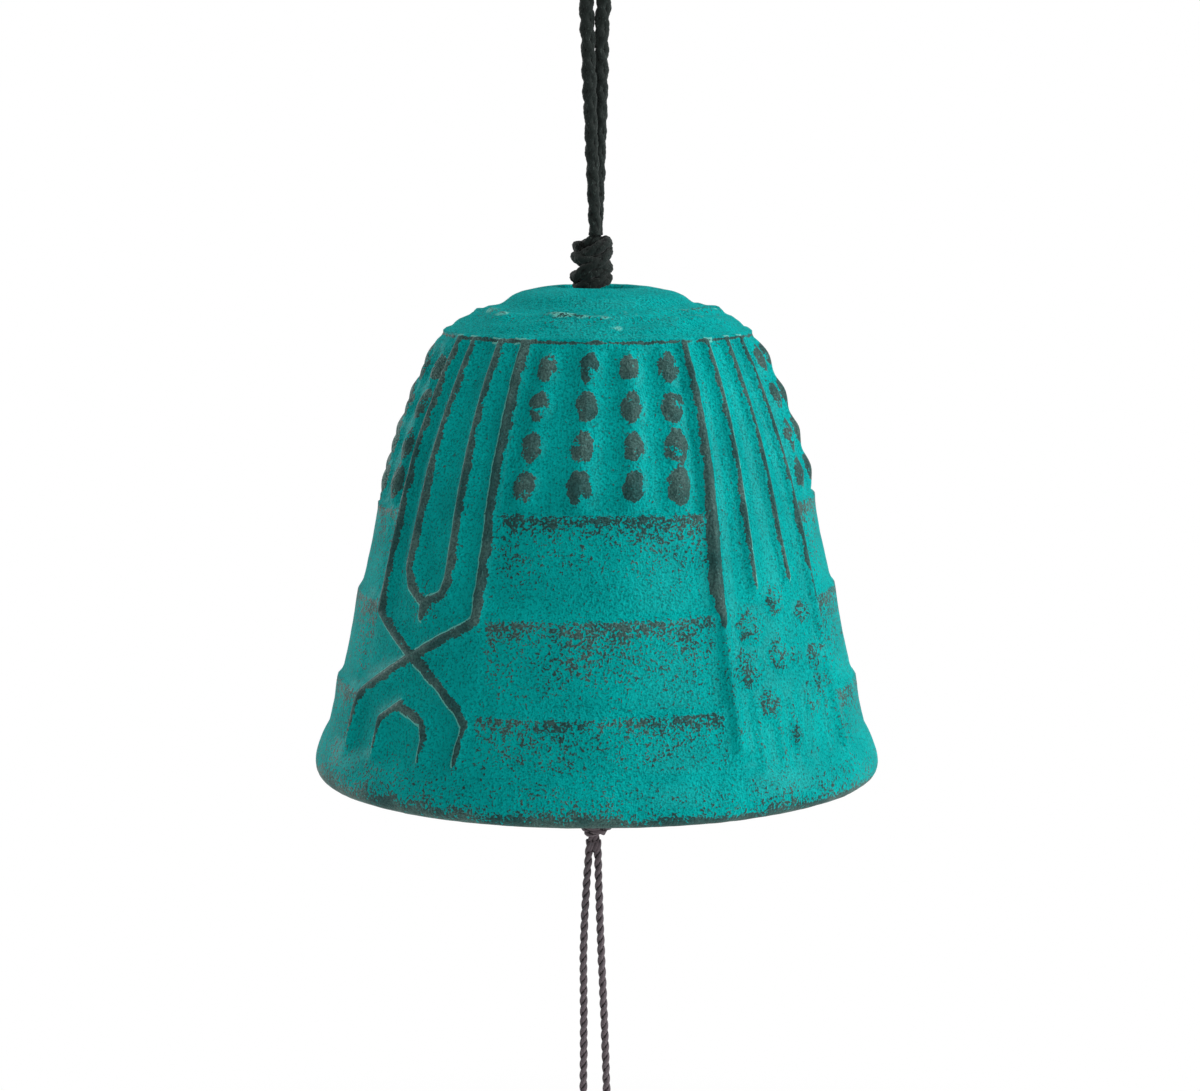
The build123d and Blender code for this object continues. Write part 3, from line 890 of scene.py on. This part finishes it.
def crown_knot():
    """Knot of the braided cord above the crown: wound turns with one end laid across them."""
    lines = [
        coil_line((-0.75, 57.0), turns=1.6, rise=2.0, reaches=(1.65, 1.85, 1.85), tilt=0.12, phase=3.4),
        coil_line((-0.7, 58.9), turns=1.5, rise=1.9, reaches=(1.85, 1.8, 1.6), tilt=-0.5, phase=0.6),
        coil_line((-0.45, 60.7), turns=1.4, rise=1.7, reaches=(1.7, 1.4, 0.7), tilt=0.42, phase=2.6),
        coil_line((-0.8, 57.8), turns=0.45, rise=3.4, reaches=(1.9, 2.1, 1.8), tilt=0.0, phase=3.5),
        np.array([place(-0.5, 0, 56.0), place(-0.6, 0, 59.5), place(-0.3, 0, 62.9)]),
    ]
    strands = []
    for line in lines:
        turns, strand_radius = braid(line, HANGING_CORD_DIAMETER, lay_length=6.0)
        strands += turns
    piece = strands_to_piece("crown_knot_turns", strands, strand_radius, lines, HANGING_CORD_DIAMETER)
    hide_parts("crown_knot")
    return piece


def crown_tie():
    """The braided cord's turn under the cross bar."""
    line = bar_turn_line(spread=1.79, end_height=56.0, over=False)
    strands, strand_radius = braid(line, HANGING_CORD_DIAMETER)
    piece = strands_to_piece("crown_tie_turn", strands, strand_radius, [line], HANGING_CORD_DIAMETER)
    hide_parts("crown_tie")
    return piece


def bar_hitch():
    """Two turns of the lower cord over the cross bar."""
    plies = []
    lines = []
    for across in (-1.5, 1.5):
        line = bar_turn_line(spread=1.5, end_height=48.9, over=True)
        line = line + np.array([across * MILLIMETRE, 0, 0])
        turn, ply_radius = two_ply(line, LOWER_CORD_DIAMETER)
        plies += turn
        lines.append(line)
    piece = strands_to_piece("bar_hitch_turns", plies, ply_radius, lines, LOWER_CORD_DIAMETER)
    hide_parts("bar_hitch")
    return piece


def lower_knot(name, node, low, high, reach, ends, tail_height):
    """A small knot of the two-ply cord between two heights, wound in two crossing coils that
    widen upwards from the two ends that leave it below."""
    rise = high - low
    widening = (0.6 * reach, 0.9 * reach, reach)
    closing = (reach, reach, 0.5 * reach)
    lower, upper = (0.1, low + 0.25 * rise), (0.1, low + 0.45 * rise)
    lines = [
        coil_line(lower, turns=1.6, rise=0.3 * rise, reaches=widening, tilt=0.22, phase=0.5),
        coil_line(upper, turns=1.8, rise=0.4 * rise, reaches=closing, tilt=0.12, phase=2.8),
    ]
    for across in ends:
        turns_in = [(across, 0, tail_height), (0.8 * across, 0, low + 0.4 * rise), (0, 0, high - 0.4)]
        lines.append(np.array([place(*point) for point in turns_in]))
    plies = []
    for line in lines:
        turns, ply_radius = two_ply(line, LOWER_CORD_DIAMETER)
        plies += turns
    piece = strands_to_piece(name, plies, ply_radius, lines, LOWER_CORD_DIAMETER)
    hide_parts(node)
    return piece


def clapper_strands():
    """The two straight strands that carry the clapper, between their knots."""
    pieces = []
    for side, across in (("left", -0.48), ("right", 0.48)):
        line = np.array([place(across, 0, 44.8), place(across, 0, 20.0), place(across, 0, -4.1)])
        plies, ply_radius = two_ply(line, LOWER_CORD_DIAMETER)
        piece = strands_to_piece("clapper_strand_" + side, plies, ply_radius, [line], LOWER_CORD_DIAMETER)
        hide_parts("clapper_cord")
        pieces.append(piece)
    return pieces


def strip_loop():
    """The two-ply cord's loop from the clapper's knot down through the strip's hole."""
    line = route_line("strip_route", STRIP_ROUTE)
    plies, ply_radius = two_ply(line, LOWER_CORD_DIAMETER)
    piece = strands_to_piece("twisted_loop", plies, ply_radius, [line], LOWER_CORD_DIAMETER)
    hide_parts("strip_cord")
    return piece


def clapper():
    """Cast disc with softened edges and a faint rim, on its knot."""
    steps, corner, crease_angle = 72, 0.15, 25
    outline = [
        (1.3, -3.7), (1.6, -4.0), (11.2, -4.0), (12.0, -3.2), (12.0, -1.4), (11.2, -0.6), (9.6, -0.75),
        (3.2, -0.75), (2.6, -0.6), (1.6, -0.6), (1.3, -0.9),
    ]
    shape = bmesh.new()
    rows = [shape.verts.new(place(radius, 0, height)) for radius, height in outline]
    turn_round(shape, rows, steps)
    sharp = [edge for edge in shape.edges if edge.calc_face_angle(0) > math.radians(crease_angle)]
    bmesh.ops.bevel(
        shape, geom=sharp, offset=corner * MILLIMETRE, offset_type="OFFSET", segments=2, profile=0.5,
        affect="EDGES", material=-1,
    )
    piece = piece_from_bmesh("clapper_disc", shape)
    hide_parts("clapper")
    return piece


def paper_strip():
    """The wind strip: a sheet with a punched hole, a slight curl and softened corners."""
    width, length, top, thickness = 48.0, 118.0, -47.0, 0.4
    hole_radius, hole_depth, corner, cell = 2.0, 6.0, 1.5, 1.0
    cut_radius, drawn_radius = hole_radius - 0.3, hole_radius + 0.9
    curl, curl_turn, cup = 1.6, 2.2, 1.1
    shape = bmesh.new()
    bmesh.ops.create_grid(shape, x_segments=round(width / cell), y_segments=round(length / cell), size=0.5)
    for vertex in shape.verts:
        vertex.co.x *= width
        vertex.co.y *= length
    hole = Vector((0, length / 2 - hole_depth, 0))
    inside = [vertex for vertex in shape.verts if (vertex.co - hole).length < cut_radius]
    bmesh.ops.delete(shape, geom=inside, context="VERTS")
    for vertex in shape.verts:
        away = vertex.co - hole
        if vertex.is_boundary and away.length < drawn_radius:
            vertex.co = hole + away.normalized() * hole_radius
    for vertex in shape.verts:
        inset_x = abs(vertex.co.x) - (width / 2 - corner)
        inset_y = abs(vertex.co.y) - (length / 2 - corner)
        if inset_x > 0 and inset_y > 0:
            reach = corner / max(math.hypot(inset_x, inset_y), corner)
            vertex.co.x = math.copysign(width / 2 - corner + inset_x * reach, vertex.co.x)
            vertex.co.y = math.copysign(length / 2 - corner + inset_y * reach, vertex.co.y)
    for vertex in shape.verts:
        across, up = vertex.co.x, vertex.co.y
        drop = length / 2 - up
        curled = curl * (drop / length) ** 2 * math.cos(across / width * curl_turn)
        cupped = cup * (across / width) ** 2 * drop / length
        vertex.co = place(curled - cupped, across, top - drop)
    bmesh.ops.recalc_face_normals(shape, faces=shape.faces)
    bmesh.ops.solidify(shape, geom=shape.faces[:], thickness=thickness * MILLIMETRE)
    shift = Vector((-thickness / 2 * MILLIMETRE, 0, 0))
    bmesh.ops.translate(shape, verts=shape.verts, vec=shift)
    piece = piece_from_bmesh("wind_strip_sheet", shape)
    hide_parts("paper_strip")
    return piece


def stage():
    """A plain pale floor below the bell that turns to a white ground away from it."""
    half_width, floor_height = 6.0, -0.30
    white_from, white_beyond = 0.38, 0.62
    shape = bmesh.new()
    bmesh.ops.create_grid(shape, x_segments=1, y_segments=1, size=half_width)
    bmesh.ops.translate(shape, verts=shape.verts, vec=(0, 0, floor_height))
    floor = piece_from_bmesh("floor", shape, smooth=False)
    material, tree, surface = new_material("pale_floor")
    fill(tree, surface, {"Base Color": colour("#F2F2F0"), "Roughness": 0.9})
    white = add_node(tree, "ShaderNodeEmission", {"Color": (1, 1, 1, 1), "Strength": 1.0})
    seen = add_node(tree, "ShaderNodeLightPath").outputs
    seen_or_mirrored = combine(tree, "MAXIMUM", seen["Is Camera Ray"], seen["Is Glossy Ray"])
    place_on = add_node(tree, "ShaderNodeTexCoord").outputs["Object"]
    away = add_node(tree, "ShaderNodeVectorMath", {0: place_on}, operation="LENGTH").outputs["Value"]
    whitened = combine(tree, "MULTIPLY", seen_or_mirrored, weigh(tree, away, white_from, white_beyond))
    mix = add_node(
        tree, "ShaderNodeMixShader",
        {0: whitened, 1: surface.outputs["BSDF"], 2: white.outputs["Emission"]},
    )
    output = next(node for node in tree.nodes if node.type == "OUTPUT_MATERIAL")
    tree.links.new(mix.outputs["Shader"], output.inputs["Surface"])
    floor.data.materials.append(material)


def sky():
    """Even pale light from all round, white where the camera sees it."""
    strength = 0.31
    world = bpy.data.worlds.new("studio")
    world.use_nodes = True
    tree = world.node_tree
    tree.nodes.clear()
    output = add_node(tree, "ShaderNodeOutputWorld")
    seen = add_node(tree, "ShaderNodeLightPath").outputs["Is Camera Ray"]
    soft = add_node(tree, "ShaderNodeBackground", {"Color": (1, 1, 1, 1), "Strength": strength})
    white = add_node(tree, "ShaderNodeBackground", {"Color": (1, 1, 1, 1), "Strength": 1.0})
    mix = add_node(
        tree, "ShaderNodeMixShader",
        {0: seen, 1: soft.outputs["Background"], 2: white.outputs["Background"]},
    )
    tree.links.new(mix.outputs["Shader"], output.inputs["Surface"])
    bpy.context.scene.world = world


def lamp(name, where, power, size):
    """A soft square lamp aimed at the bell."""
    light = bpy.data.lights.new(name, "AREA")
    light.energy = power
    light.size = size
    stand = bpy.data.objects.new(name, light)
    stand.location = where
    aim = place(0, 0, LAMP_AIM_HEIGHT) - Vector(where)
    stand.rotation_euler = aim.to_track_quat("-Z", "Y").to_euler()
    bpy.context.scene.collection.objects.link(stand)


def camera():
    """The camera, level with the crown, looking slightly down on the bell."""
    lens = bpy.data.cameras.new("camera")
    lens.sensor_width = SENSOR_WIDTH
    lens.lens = LENS
    eye = bpy.data.objects.new("camera", lens)
    eye.location = place(*EYE)
    eye.rotation_mode = "ZYX"
    eye.rotation_euler = (math.radians(90 - EYE_PITCH), 0, math.radians(EYE_ROLL))
    bpy.context.scene.collection.objects.link(eye)
    bpy.context.scene.camera = eye


camera()
stage()
sky()
lamp("key_light", where=(1.09, -0.1, 0.3), power=7.6, size=0.5)
lamp("front_light", where=(0.62, -0.89, 0.3), power=3.05, size=0.5)
lamp("left_light", where=(-1.0, 0.9, 0.2), power=5.0, size=0.4)
lamp("top_light", where=(0.1, 0.2, 0.95), power=3.5, size=0.6)

iron_paint = patinated_iron()
# each cord's first colour is painted shade in its grooves and its second a painted highlight on its crests
hanging_fibre = cord_fibre("braided_polyester", groove_shade="#090D0B", crown="#202725", hair="#4F5A56")
lower_fibre = cord_fibre("twisted_polyester", groove_shade="#2D282A", crown="#6B6166", hair="#847B7F")

finish_piece(hanging_loop(), hanging_fibre, "hanger")
finish_piece(crown_knot(), hanging_fibre, "knot")
finish_piece(crown_tie(), hanging_fibre, "tie")
finish_piece(bar_hitch(), lower_fibre, "bell")
hitch = lower_knot(
    "hitch_knot_turns", "hitch_knot", low=44.6, high=49.0, reach=1.5, ends=(-0.48, 0.48), tail_height=44.6,
)
finish_piece(hitch, lower_fibre, "hitch")
for strand in clapper_strands():
    finish_piece(strand, lower_fibre, "clapper_string")
under_clapper = lower_knot(
    "clapper_knot_turns", "clapper_knot", low=-8.6, high=-4.1, reach=1.5, ends=(-0.62, -0.08),
    tail_height=-9.6,
)
finish_piece(under_clapper, lower_fibre, "clapper_string")
finish_piece(strip_loop(), lower_fibre, "strip_string")
finish_piece(cast_bell(), iron_paint, "bell")
finish_piece(clapper(), bare_iron(), "clapper_disc")
finish_piece(paper_strip(), mulberry_paper(), "wind_strip")
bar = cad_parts["cross_bar"]
bar.data.materials.clear()
bar.data.materials.append(drawn_steel())

bpy.context.scene.view_settings.view_transform = "Standard"
